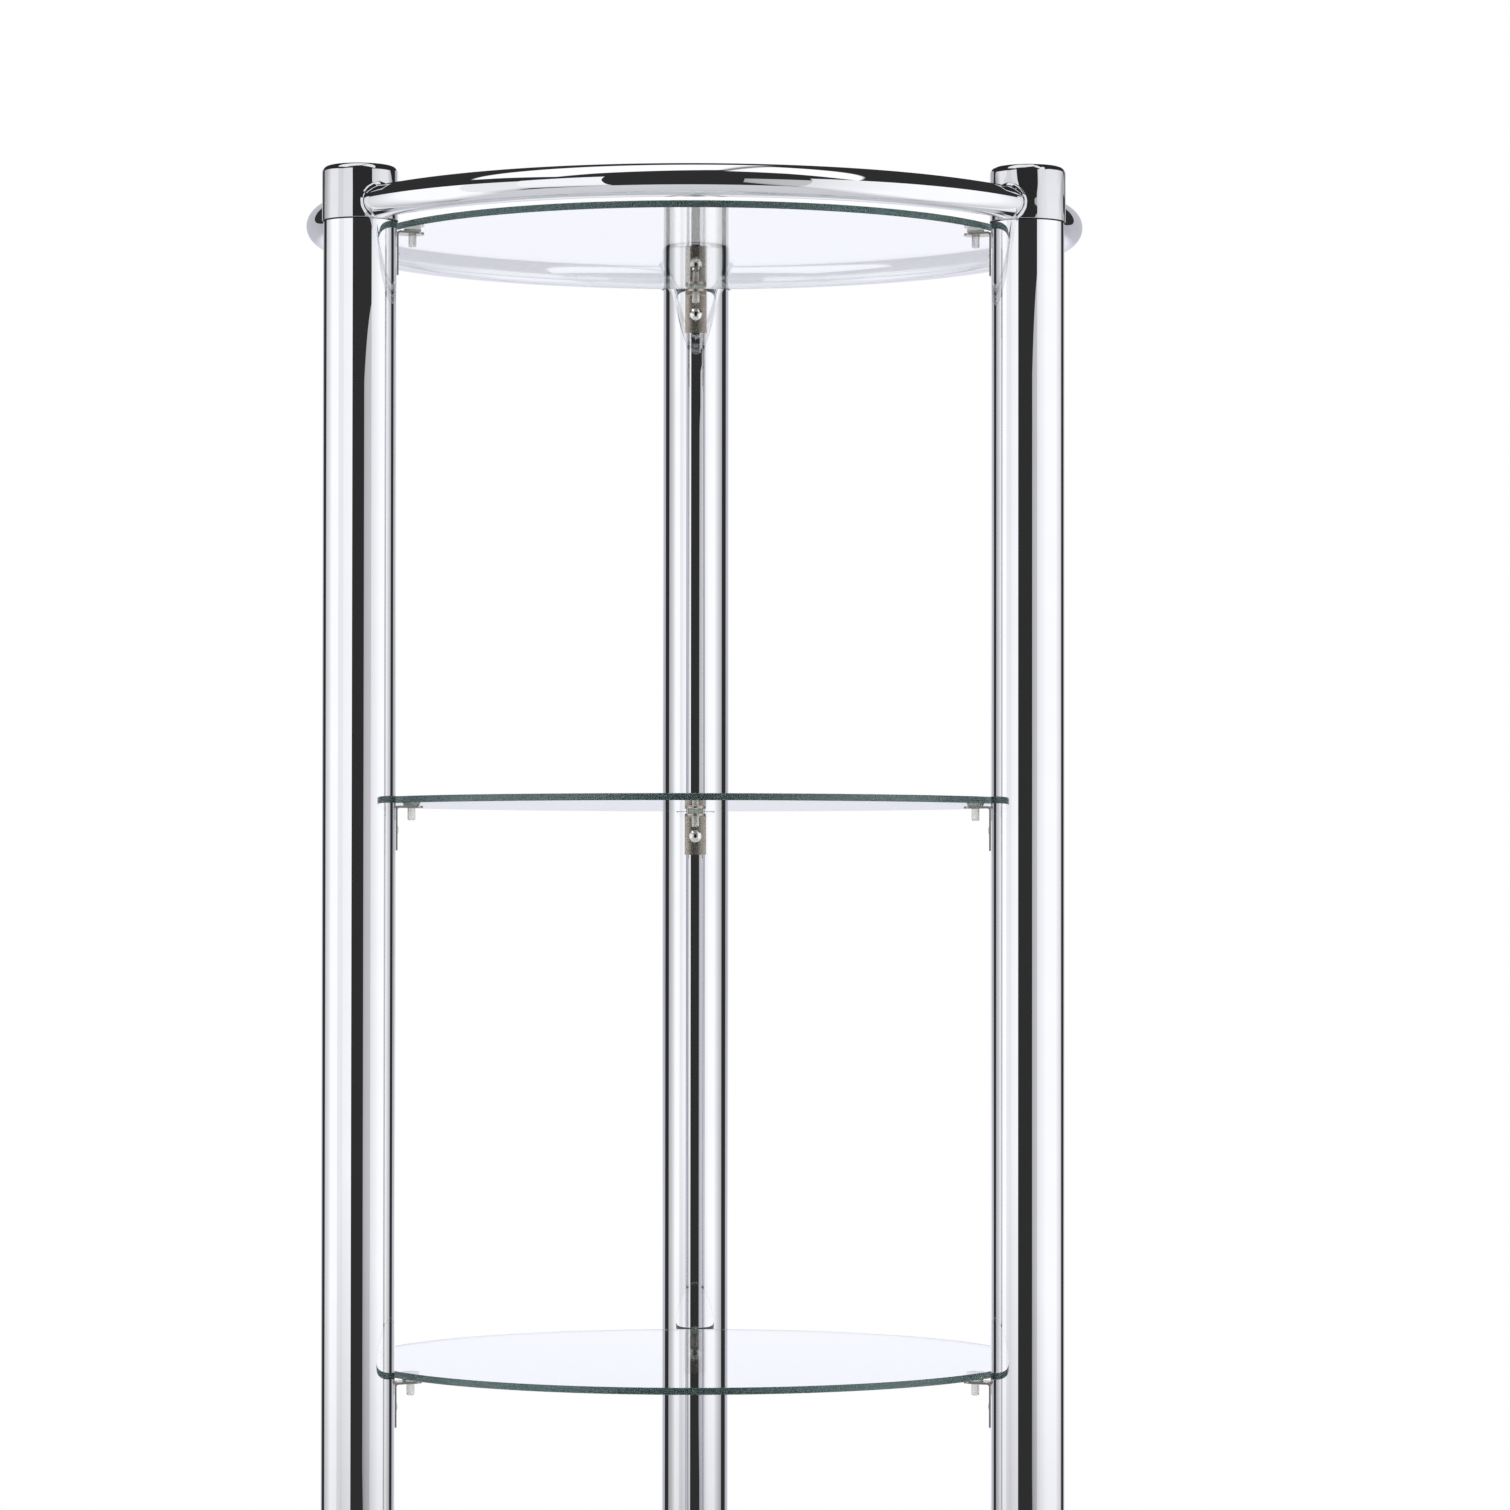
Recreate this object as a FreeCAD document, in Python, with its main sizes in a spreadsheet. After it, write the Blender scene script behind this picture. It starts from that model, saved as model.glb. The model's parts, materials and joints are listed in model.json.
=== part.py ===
"""Round display tower: three chrome tube posts, two ring frames and four glass shelves.

Millimetres, +Z up. The origin is on the floor, on the tower's axis, and the front faces -Y.
"""
import FreeCAD
import Part
import Sketcher

import os

# Driving sizes
SIZES = [
    ("post_circle_radius", 266.5, "tower axis to post axis"),
    ("post_diameter", 50.8, "post tube, outside"),
    ("post_wall", 1.5, "post tube wall"),
    ("hub_height", 38.5, "hub cap, rim to crown"),
    ("hub_wall", 0.8, "hub cap wall"),
    ("hub_clearance", 0.1, "post to hub cap, on each side"),
    ("hub_edge_radius", 4.5, "round edge of the hub cap's crown"),
    ("ring_diameter", 22.2, "ring tube, outside"),
    ("ring_wall", 1.2, "ring tube wall"),
    ("ring_rise", 0.6, "hub cap's rim to the ring tube"),
    ("shelf_pitch", 398.5, "one shelf to the next"),
    ("glass_thickness", 4.75, "shelf glass"),
    ("glass_arris", 0.4, "ground edge of the glass"),
    ("glass_gap", 5.1, "glass edge to post"),
    ("top_glass_drop", 2.5, "upper hub caps' rim down to the top shelf's underside"),
    ("rim_gap", 3, "lower hub caps' rim up to the bottom brackets"),
    ("bracket_width", 16.2, "bracket strip"),
    ("bracket_thickness", 1.5, "bracket strip"),
    ("bracket_height", 31, "bracket plate with its arm"),
    ("bracket_bend", 1.5, "inside bend of the bracket"),
    ("arm_reach", 13.5, "bracket plate's face to bumper axis"),
    ("bumper_head_diameter", 12.6, "bumper head under the glass"),
    ("bumper_head_height", 2, "bumper head, arm to glass"),
    ("bumper_head_taper", 1, "how much narrower the head is on the arm, on each side"),
    ("bumper_stem_diameter", 5.5, "bumper stem"),
    ("bumper_stem_length", 10, "bumper stem below its head"),
    ("bumper_tip_radius", 1.2, "round end of the stem"),
    ("bumper_clearance", 0.1, "bumper stem in the arm, on each side"),
    ("screw_drop", 18.8, "glass underside to bracket screw"),
    ("screw_diameter", 5, "bracket screw"),
    ("screw_length", 12, "bracket screw under its head"),
    ("screw_head_diameter", 9.5, "pan head"),
    ("screw_head_height", 3, "pan head"),
    ("screw_head_round", 2.2, "round edge of the pan head"),
    ("screw_clearance", 0.25, "bracket screw in the bracket, on each side"),
    ("recess_length", 4.6, "cross recess, tip to tip"),
    ("recess_width", 1.1, "cross recess slot"),
    ("recess_depth", 1.6, "cross recess"),
    ("nut_wall", 0.9, "rivet nut barrel wall"),
    ("nut_length", 13, "rivet nut"),
    ("nut_collar_width", 1.25, "rivet nut's upset collar round its barrel"),
    ("nut_collar_length", 2.5, "rivet nut's upset collar inside the post"),
    ("nut_clearance", 0.1, "rivet nut in the post wall"),
    ("thread_clearance", 0.1, "male thread in its nut, on each side"),
    ("plug_depth", 20, "end plug inside the post"),
    ("plug_clearance", 0.1, "end plug in the post, on each side"),
    ("plug_inset", 0.4, "end plug's head inside the post's outline"),
    ("plug_headroom", 0.3, "post end below the round of the hub cap's edge"),
    ("pad_diameter", 36, "foot pad on the floor"),
    ("pad_rim", 3, "upright rim of the foot pad"),
    ("pad_crown_diameter", 22, "flat top of the foot pad"),
    ("pad_floor", 4, "foot pad under the stud's swivel disc"),
    ("pad_lip", 1.2, "foot pad over the stud's swivel disc"),
    ("swivel_width", 2, "stud's swivel disc round its neck"),
    ("swivel_height", 3.5, "stud's swivel disc in the pad"),
    ("swivel_clearance", 0.3, "swivel disc and neck in the pad"),
    ("stud_diameter", 8, "foot stud"),
    ("stud_length", 30, "foot stud above its collar"),
    ("stud_clearance", 0.5, "foot stud in the hub cap, on each side"),
    ("collar_across_flats", 13, "stud's hexagon collar"),
    ("collar_height", 5, "stud's hexagon collar"),
    ("collar_gap", 0.3, "pad to hexagon collar"),
    ("foot_nut_wall", 1.4, "foot nut barrel wall"),
    ("foot_nut_length", 20, "foot nut with its flange"),
    ("foot_nut_flange_width", 2, "foot nut flange round its barrel"),
    ("foot_nut_flange_height", 1.5, "foot nut flange"),
]

# Posts by their angle about the tower's axis, in degrees from +X
CORNERS = {"front_left": 210, "front_right": 330, "rear": 90}
# Ring arcs by the posts between which each one runs, counter-clockwise seen from above
ARCS = {
    "front": ("front_left", "front_right"),
    "right": ("front_right", "rear"),
    "left": ("rear", "front_left"),
}
# Shelves from the top one down, by their place in the stack counted from the bottom
SHELVES = {"shelf_1": 3, "shelf_2": 2, "shelf_3": 1, "shelf_4": 0}

# Sizes and levels that follow from the driving ones, in the order in which they build on each other
DERIVED = [
    ("post_radius", "Sizes.post_diameter / 2"),
    ("post_bore", "Derived.post_radius - Sizes.post_wall"),
    ("hub_bore", "Derived.post_radius + Sizes.hub_clearance"),
    ("hub_radius", "Derived.hub_bore + Sizes.hub_wall"),
    ("hub_ceiling", "Sizes.hub_height - Sizes.hub_wall"),
    ("hub_inner_edge", "Sizes.hub_edge_radius - Sizes.hub_wall"),
    ("plug_head", "Derived.hub_inner_edge + Sizes.plug_headroom"),
    ("plug_radius", "Derived.post_bore - Sizes.plug_clearance"),
    ("plug_head_radius", "Derived.post_radius - Sizes.plug_inset"),
    ("plug_length", "Sizes.plug_depth + Derived.plug_head"),
    ("stud_radius", "Sizes.stud_diameter / 2"),
    ("stud_hole", "Derived.stud_radius + Sizes.stud_clearance"),
    ("swivel_radius", "Derived.stud_radius + Sizes.swivel_width"),
    ("swivel_bore", "Derived.swivel_radius + Sizes.swivel_clearance"),
    ("swivel_roof", "Sizes.pad_floor + Sizes.swivel_height + Sizes.swivel_clearance"),
    ("neck_bore", "Derived.stud_radius + Sizes.swivel_clearance"),
    ("pad_height", "Derived.swivel_roof + Sizes.pad_lip"),
    ("collar_base", "Derived.pad_height + Sizes.collar_gap - Sizes.pad_floor"),
    ("stud_overall", "Derived.collar_base + Sizes.collar_height + Sizes.stud_length"),
    ("foot_height", "Derived.pad_height + Sizes.collar_gap + Sizes.collar_height"),
    ("foot_nut_bore", "Derived.stud_radius + Sizes.thread_clearance"),
    ("foot_nut_radius", "Derived.foot_nut_bore + Sizes.foot_nut_wall"),
    ("foot_nut_flange", "Derived.foot_nut_radius + Sizes.foot_nut_flange_width"),
    ("bracket_face", "Derived.post_radius + Sizes.bracket_thickness"),
    ("bracket_foot", "Sizes.bumper_head_height + Sizes.bracket_height"),
    ("arm_underside", "Sizes.bumper_head_height + Sizes.bracket_thickness"),
    ("bumper_reach", "Derived.bracket_face + Sizes.arm_reach"),
    ("bumper_length", "Sizes.bumper_stem_length + Sizes.bumper_head_height"),
    ("shelf_stack", f"{len(SHELVES) - 1} * Sizes.shelf_pitch"),
    ("bottom_rim", "Derived.foot_height + Sizes.hub_height"),
    ("bottom_ring", "Derived.bottom_rim - Sizes.ring_rise - Sizes.ring_diameter / 2"),
    ("bottom_shelf", "Derived.bottom_rim + Sizes.rim_gap + Derived.bracket_foot"),
    ("top_shelf", "Derived.bottom_shelf + Derived.shelf_stack"),
    ("top_rim", "Derived.top_shelf + Sizes.top_glass_drop"),
    ("top_ring", "Derived.top_rim + Sizes.ring_rise + Sizes.ring_diameter / 2"),
    ("tower_top", "Derived.top_rim + Sizes.hub_height"),
    ("post_base", "Derived.foot_height + Sizes.hub_wall + Derived.plug_head"),
    ("post_top", "Derived.tower_top - Sizes.hub_wall - Derived.plug_head"),
    ("post_length", "Derived.post_top - Derived.post_base"),
    ("glass_radius", "Sizes.post_circle_radius - Derived.post_radius - Sizes.glass_gap"),
    ("screw_radius", "Sizes.screw_diameter / 2"),
    ("screw_overall", "Sizes.screw_length + Sizes.screw_head_height"),
    ("nut_bore", "Derived.screw_radius + Sizes.thread_clearance"),
    ("nut_radius", "Derived.nut_bore + Sizes.nut_wall"),
    ("nut_hole", "Derived.nut_radius + Sizes.nut_clearance"),
    ("nut_mouth", "sqrt(Derived.post_radius ^ 2 - Derived.nut_hole ^ 2)"),
    ("nut_collar_radius", "Derived.nut_radius + Sizes.nut_collar_width"),
    ("nut_seat", "sqrt(Derived.post_bore ^ 2 - Derived.nut_collar_radius ^ 2) - Sizes.nut_clearance"),
    ("nut_collar_top", "Sizes.nut_length - Derived.nut_mouth + Derived.nut_seat"),
    ("nut_collar_base", "Derived.nut_collar_top - Sizes.nut_collar_length"),
]

X_AXIS = FreeCAD.Vector(1, 0, 0)
Y_AXIS = FreeCAD.Vector(0, 1, 0)
Z_AXIS = FreeCAD.Vector(0, 0, 1)
UPRIGHT = FreeCAD.Rotation()
UPSIDE_DOWN = FreeCAD.Rotation(X_AXIS, 180)
# Turns a piece's own +Z to the tower's axis
INWARD = FreeCAD.Rotation(Y_AXIS, -90)

POST_AXIS = "Sizes.post_circle_radius"
EDGE_TOLERANCE = 1e-4

doc = FreeCAD.newDocument("display_tower")
subparts = []


def fill_sheets():
    """Write the driving sizes, and the formulas that follow from them, into two sheets."""
    sizes = doc.addObject("Spreadsheet::Sheet", "Sizes")
    for row, (alias, number, meaning) in enumerate(SIZES, start=1):
        sizes.set(f"A{row}", alias)
        sizes.set(f"B{row}", str(number))
        sizes.set(f"C{row}", meaning)
        sizes.setAlias(f"B{row}", alias)
    derived = doc.addObject("Spreadsheet::Sheet", "Derived")
    for row, (alias, formula) in enumerate(DERIVED, start=1):
        derived.set(f"A{row}", alias)
        derived.setAlias(f"B{row}", alias)
        derived.set(f"B{row}", "=" + formula.replace("Derived.", ""))
    doc.recompute()
    return derived


def value(expression):
    """Return the number that an expression on the sheets gives."""
    return float(derived_sheet.evalExpression(expression.replace("Derived.", "")))


def bind(item, sizes):
    """Tie properties of an item to expressions on the sheets."""
    for name, expression in sizes.items():
        item.setExpression(name, expression)


def keep(item, label):
    """Name a finished sub-part and put it on the list of those to write."""
    item.Label = label
    subparts.append(item)
    return item


def place(item, angle, radius, height, attitude=UPRIGHT):
    """Stand an item at a radius and height, with its own +X pointing away from the tower's axis."""
    turn = FreeCAD.Rotation(Z_AXIS, angle)
    item.Placement = FreeCAD.Placement(FreeCAD.Vector(), turn * attitude)
    bind(item, {
        ".Placement.Base.x": f"({radius}) * cos({angle} deg)",
        ".Placement.Base.y": f"({radius}) * sin({angle} deg)",
        ".Placement.Base.z": height,
    })
    return item


def shelf_height(shelf):
    """Return the expression for the height of a shelf's underside."""
    return f"Derived.bottom_shelf + {SHELVES[shelf]} * Sizes.shelf_pitch"


def new_sketch(body, role, name):
    """Add a sketch on one of a body's own origin planes."""
    plane = next(item for item in body.Origin.OriginFeatures if item.Role == role)
    sketch = body.newObject("Sketcher::SketchObject", name)
    sketch.AttachmentSupport = (plane, [""])
    sketch.MapMode = "FlatFace"
    return sketch


def pin_point(sketch, geometry, point, across, up):
    """Fix a sketch point at two expressions measured from the sketch's origin."""
    for kind, axis, expression in (("DistanceX", -2, across), ("DistanceY", -1, up)):
        if expression == "0":
            sketch.addConstraint(Sketcher.Constraint("PointOnObject", geometry, point, axis))
        else:
            distance = Sketcher.Constraint(kind, -1, 1, geometry, point, value(expression))
            index = sketch.addConstraint(distance)
            sketch.setExpression(f"Constraints[{index}]", expression)


def add_circle(sketch, radius, up="0"):
    """Draw a circle on the sketch's upright axis."""
    centre = FreeCAD.Vector(0, value(up), 0)
    geometry = sketch.addGeometry(Part.Circle(centre, Z_AXIS, value(radius)), False)
    pin_point(sketch, geometry, 3, "0", up)
    index = sketch.addConstraint(Sketcher.Constraint("Radius", geometry, value(radius)))
    sketch.setExpression(f"Constraints[{index}]", radius)


def turned(name, profile):
    """Make a body by turning a closed profile of (radius, height) expressions about Z."""
    body = doc.addObject("PartDesign::Body", name)
    sketch = new_sketch(body, "XZ_Plane", name + "_profile")
    points = [FreeCAD.Vector(value(radius), value(height), 0) for radius, height in profile]
    for start, end in zip(points, points[1:] + points[:1]):
        sketch.addGeometry(Part.LineSegment(start, end), False)
    for line in range(len(points)):
        following = (line + 1) % len(points)
        sketch.addConstraint(Sketcher.Constraint("Coincident", line, 2, following, 1))
    for line, (radius, height) in enumerate(profile):
        pin_point(sketch, line, 1, radius, height)
    revolution = body.newObject("PartDesign::Revolution", name + "_turn")
    revolution.Profile = sketch
    revolution.ReferenceAxis = (sketch, ["V_Axis"])
    revolution.Angle = 360
    return body


def round_edge(body, radius, edge_radius, height):
    """Round the circular edges of a body that have one radius and lie at one height."""
    doc.recompute()
    base = body.Tip
    names = []
    for number, edge in enumerate(base.Shape.Edges, start=1):
        if not isinstance(edge.Curve, Part.Circle):
            continue
        off_radius = abs(edge.Curve.Radius - value(edge_radius))
        off_height = abs(edge.Curve.Center.z - value(height))
        if max(off_radius, off_height) < EDGE_TOLERANCE:
            names.append(f"Edge{number}")
    fillet = body.newObject("PartDesign::Fillet", body.Name + "_round")
    fillet.Base = (base, names)
    fillet.setExpression("Radius", radius)


def add_primitive(body, kind, sizes, corner, attitude=UPRIGHT):
    """Add or take away a box, cylinder or prism, with its corner or centre at three expressions."""
    solid = body.newObject("PartDesign::" + kind, f"{body.Name}_{kind.lower()}")
    solid.Placement = FreeCAD.Placement(FreeCAD.Vector(), attitude)
    bind(solid, sizes)
    for letter, expression in zip("xyz", corner):
        solid.setExpression(f".Placement.Base.{letter}", expression)


def grouped(name, members):
    """Put identical pieces in one sub-part, as separate solids."""
    group = doc.addObject("Part::Compound", name)
    group.Links = members
    return keep(group, name)


def make_post(corner, angle):
    """Post tube, drilled on its inner side for one rivet nut at each shelf."""
    name = corner + "_post"
    body = doc.addObject("PartDesign::Body", name)
    section = new_sketch(body, "XY_Plane", name + "_section")
    add_circle(section, "Derived.post_radius")
    add_circle(section, "Derived.post_bore")
    tube = body.newObject("PartDesign::Pad", name + "_tube")
    tube.Profile = section
    tube.setExpression("Length", "Derived.post_length")
    hole = new_sketch(body, "YZ_Plane", name + "_hole")
    add_circle(hole, "Derived.nut_hole", "Derived.bottom_shelf - Sizes.screw_drop - Derived.post_base")
    drill = body.newObject("PartDesign::Pocket", name + "_drill")
    drill.Profile = hole
    drill.setExpression("Length", "Sizes.post_diameter")
    pattern = body.newObject("PartDesign::LinearPattern", name + "_holes")
    pattern.Originals = [drill]
    upright = next(item for item in body.Origin.OriginFeatures if item.Role == "Z_Axis")
    pattern.Direction = (upright, [""])
    pattern.setExpression("Length", "Derived.shelf_stack")
    pattern.Occurrences = len(SHELVES)
    body.Tip = pattern
    place(body, angle, POST_AXIS, "Derived.post_base")
    keep(body, name)


def make_hub(name, centre_hole):
    """Drawn hub cap, rim down, with a rounded crown and, for a foot, a hole in its middle."""
    body = turned(name, [
        ("Derived.hub_bore", "0"),
        ("Derived.hub_radius", "0"),
        ("Derived.hub_radius", "Sizes.hub_height"),
        (centre_hole, "Sizes.hub_height"),
        (centre_hole, "Derived.hub_ceiling"),
        ("Derived.hub_bore", "Derived.hub_ceiling"),
    ])
    round_edge(body, "Sizes.hub_edge_radius", "Derived.hub_radius", "Sizes.hub_height")
    round_edge(body, "Derived.hub_inner_edge", "Derived.hub_bore", "Derived.hub_ceiling")
    return keep(body, name)


def make_plug(name, bore, flange):
    """End plug of a post, head up, with room for a flanged nut where it takes a foot."""
    head_top = "Derived.plug_length"
    profile = [
        (bore, "0"),
        ("Derived.plug_radius", "0"),
        ("Derived.plug_radius", "Sizes.plug_depth"),
        ("Derived.plug_head_radius", "Sizes.plug_depth"),
        ("Derived.plug_head_radius", head_top),
        (flange, head_top),
    ]
    if flange != bore:
        flange_base = "Derived.plug_length - Sizes.foot_nut_flange_height"
        profile += [(flange, flange_base), (bore, flange_base)]
    body = turned(name, profile)
    round_edge(body, "Derived.hub_inner_edge", "Derived.plug_head_radius", head_top)
    return keep(body, name)


def make_ring_arc(name, start, end, height):
    """Bent ring tube from one post to the next, coped at both ends to fit the hub caps."""
    span = (CORNERS[end] - CORNERS[start]) % 360
    tube = doc.addObject("Part::Torus", name + "_outside")
    bore = doc.addObject("Part::Torus", name + "_inside")
    for torus in (tube, bore):
        torus.Angle3 = span
        torus.setExpression("Radius1", POST_AXIS)
    tube.setExpression("Radius2", "Sizes.ring_diameter / 2")
    bore.setExpression("Radius2", "Sizes.ring_diameter / 2 - Sizes.ring_wall")
    arc = doc.addObject("Part::Cut", name + "_tube")
    arc.Base = tube
    arc.Tool = bore
    for corner, turn in ((start, 0), (end, span)):
        cope = doc.addObject("Part::Cylinder", f"{name}_{corner}_cope")
        bind(cope, {"Radius": "Derived.hub_radius", "Height": "2 * Sizes.ring_diameter"})
        place(cope, turn, POST_AXIS, "-Sizes.ring_diameter")
        coped = doc.addObject("Part::Cut", f"{name}_{corner}_end")
        coped.Base = arc
        coped.Tool = cope
        arc = coped
    place(arc, CORNERS[start], "0", height)
    keep(arc, name)


def make_glass(shelf):
    """Round glass shelf with ground edges."""
    name = shelf + "_glass"
    edge = "Derived.glass_radius"
    inset = "Derived.glass_radius - Sizes.glass_arris"
    body = turned(name, [
        ("0", "0"),
        (inset, "0"),
        (edge, "Sizes.glass_arris"),
        (edge, "Sizes.glass_thickness - Sizes.glass_arris"),
        (inset, "Sizes.glass_thickness"),
        ("0", "Sizes.glass_thickness"),
    ])
    place(body, 0, "0", shelf_height(shelf))
    keep(body, name)


def make_bracket(shelf, corner, angle):
    """Bent strip bracket: a plate that hugs the post and a round-ended arm under the glass."""
    name = f"{shelf}_{corner}_bracket"
    half_width = "Sizes.bracket_width / 2"
    foot = "-Derived.bracket_foot"
    arm_base = "-Derived.arm_underside"
    body = doc.addObject("PartDesign::Body", name)
    add_primitive(body, "AdditiveCylinder",
                  {"Radius": "Derived.bracket_face", "Height": "Sizes.bracket_height"}, ("0", "0", foot))
    trims = [
        ("0", "-Derived.bracket_face"),
        ("-Derived.bracket_face", half_width),
        ("-Derived.bracket_face", "-Derived.bracket_face * 2 - " + half_width),
    ]
    for across, along in trims:
        add_primitive(body, "SubtractiveBox", {
            "Length": "2 * Derived.bracket_face",
            "Width": "2 * Derived.bracket_face",
            "Height": "Sizes.bracket_height",
        }, (across, along, foot))
    add_primitive(body, "AdditiveBox", {
        "Length": "Derived.bumper_reach",
        "Width": "Sizes.bracket_width",
        "Height": "Sizes.bracket_thickness",
    }, ("-Derived.bumper_reach", "-" + half_width, arm_base))
    add_primitive(body, "AdditiveCylinder", {"Radius": half_width, "Height": "Sizes.bracket_thickness"},
                  ("-Derived.bumper_reach", "0", arm_base))
    add_primitive(body, "SubtractiveCylinder",
                  {"Radius": "Derived.post_radius", "Height": "Sizes.bracket_height"}, ("0", "0", foot))
    add_primitive(body, "SubtractiveCylinder", {
        "Radius": "Sizes.bumper_stem_diameter / 2 + Sizes.bumper_clearance",
        "Height": "Sizes.bracket_thickness",
    }, ("-Derived.bumper_reach", "0", arm_base))
    add_primitive(body, "SubtractiveCylinder", {
        "Radius": "Derived.screw_radius + Sizes.screw_clearance",
        "Height": "Derived.bracket_face",
    }, ("0", "0", "-Sizes.screw_drop"), INWARD)
    round_edge(body, "Sizes.bracket_bend", "Derived.bracket_face", arm_base)
    round_edge(body, "Sizes.bracket_bend + Sizes.bracket_thickness", "Derived.post_radius",
               "-Sizes.bumper_head_height")
    place(body, angle, POST_AXIS, shelf_height(shelf))
    keep(body, name)


def make_bumper(name):
    """Clear bumper: a head between arm and glass, and a stem through the arm."""
    stem = "Sizes.bumper_stem_diameter / 2"
    head = "Sizes.bumper_head_diameter / 2"
    body = turned(name, [
        ("0", "0"),
        (stem, "0"),
        (stem, "Sizes.bumper_stem_length"),
        (head + " - Sizes.bumper_head_taper", "Sizes.bumper_stem_length"),
        (head, "Derived.bumper_length"),
        ("0", "Derived.bumper_length"),
    ])
    round_edge(body, "Sizes.bumper_tip_radius", stem, "0")
    return body


def make_screw(name):
    """Pan-head screw with a cross recess, head up."""
    head = "Sizes.screw_head_diameter / 2"
    body = turned(name, [
        ("0", "0"),
        ("Derived.screw_radius", "0"),
        ("Derived.screw_radius", "Sizes.screw_length"),
        (head, "Sizes.screw_length"),
        (head, "Derived.screw_overall"),
        ("0", "Derived.screw_overall"),
    ])
    round_edge(body, "Sizes.screw_head_round", head, "Derived.screw_overall")
    recess_floor = "Derived.screw_overall - Sizes.recess_depth"
    for length, width in (("recess_length", "recess_width"), ("recess_width", "recess_length")):
        add_primitive(body, "SubtractiveBox", {
            "Length": "Sizes." + length,
            "Width": "Sizes." + width,
            "Height": "Sizes.recess_depth",
        }, (f"-Sizes.{length} / 2", f"-Sizes.{width} / 2", recess_floor))
    return body


def make_rivet_nut(name):
    """Rivet nut with its upset collar behind the post wall, mouth up."""
    return turned(name, [
        ("Derived.nut_bore", "0"),
        ("Derived.nut_radius", "0"),
        ("Derived.nut_radius", "Derived.nut_collar_base"),
        ("Derived.nut_collar_radius", "Derived.nut_collar_base"),
        ("Derived.nut_collar_radius", "Derived.nut_collar_top"),
        ("Derived.nut_radius", "Derived.nut_collar_top"),
        ("Derived.nut_radius", "Sizes.nut_length"),
        ("Derived.nut_bore", "Sizes.nut_length"),
    ])


def make_shelf_hardware(shelf):
    """Bumpers, bracket screws and rivet nuts of one shelf, one of each at every post."""
    base = shelf_height(shelf)
    screw_level = base + " - Sizes.screw_drop"
    bumpers = []
    screws = []
    nuts = []
    for corner, angle in CORNERS.items():
        bumper = make_bumper(f"{shelf}_{corner}_bumper")
        place(bumper, angle, POST_AXIS + " - Derived.bumper_reach", base + " - Derived.bumper_length")
        bumpers.append(bumper)
        screw = make_screw(f"{shelf}_{corner}_screw")
        screw_end = POST_AXIS + " - Derived.bracket_face + Sizes.screw_length"
        place(screw, angle, screw_end, screw_level, INWARD)
        screws.append(screw)
        nut = make_rivet_nut(f"{shelf}_{corner}_rivet_nut")
        nut_end = POST_AXIS + " - Derived.nut_mouth + Sizes.nut_length"
        place(nut, angle, nut_end, screw_level, INWARD)
        nuts.append(nut)
    grouped(shelf + "_bumpers", bumpers)
    grouped(shelf + "_bracket_screws", screws)
    grouped(shelf + "_rivet_nuts", nuts)


def make_foot_pad(corner, angle):
    """Plastic foot pad with a lipped socket for the stud's swivel disc."""
    rim = "Sizes.pad_diameter / 2"
    body = turned(corner + "_foot_pad", [
        ("0", "0"),
        (rim, "0"),
        (rim, "Sizes.pad_rim"),
        ("Sizes.pad_crown_diameter / 2", "Derived.pad_height"),
        ("Derived.neck_bore", "Derived.pad_height"),
        ("Derived.neck_bore", "Derived.swivel_roof"),
        ("Derived.swivel_bore", "Derived.swivel_roof"),
        ("Derived.swivel_bore", "Sizes.pad_floor"),
        ("0", "Sizes.pad_floor"),
    ])
    place(body, angle, POST_AXIS, "0")
    keep(body, corner + "_foot_pad")


def make_foot_stud(corner, angle):
    """Foot stud: a swivel disc, a neck, a hexagon collar and the threaded shank."""
    name = corner + "_foot_stud"
    body = turned(name, [
        ("0", "0"),
        ("Derived.swivel_radius", "0"),
        ("Derived.swivel_radius", "Sizes.swivel_height"),
        ("Derived.stud_radius", "Sizes.swivel_height"),
        ("Derived.stud_radius", "Derived.stud_overall"),
        ("0", "Derived.stud_overall"),
    ])
    add_primitive(body, "AdditivePrism", {
        "Circumradius": "Sizes.collar_across_flats / 2 / cos(30 deg)",
        "Height": "Sizes.collar_height",
    }, ("0", "0", "Derived.collar_base"))
    place(body, angle, POST_AXIS, "Sizes.pad_floor")
    keep(body, name)


def make_foot_nut(corner, angle):
    """Flanged nut in the lower end plug, flange down."""
    body = turned(corner + "_foot_nut", [
        ("Derived.foot_nut_bore", "0"),
        ("Derived.foot_nut_flange", "0"),
        ("Derived.foot_nut_flange", "Sizes.foot_nut_flange_height"),
        ("Derived.foot_nut_radius", "Sizes.foot_nut_flange_height"),
        ("Derived.foot_nut_radius", "Sizes.foot_nut_length"),
        ("Derived.foot_nut_bore", "Sizes.foot_nut_length"),
    ])
    return place(body, angle, POST_AXIS, "Derived.foot_height + Sizes.hub_wall")


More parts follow.
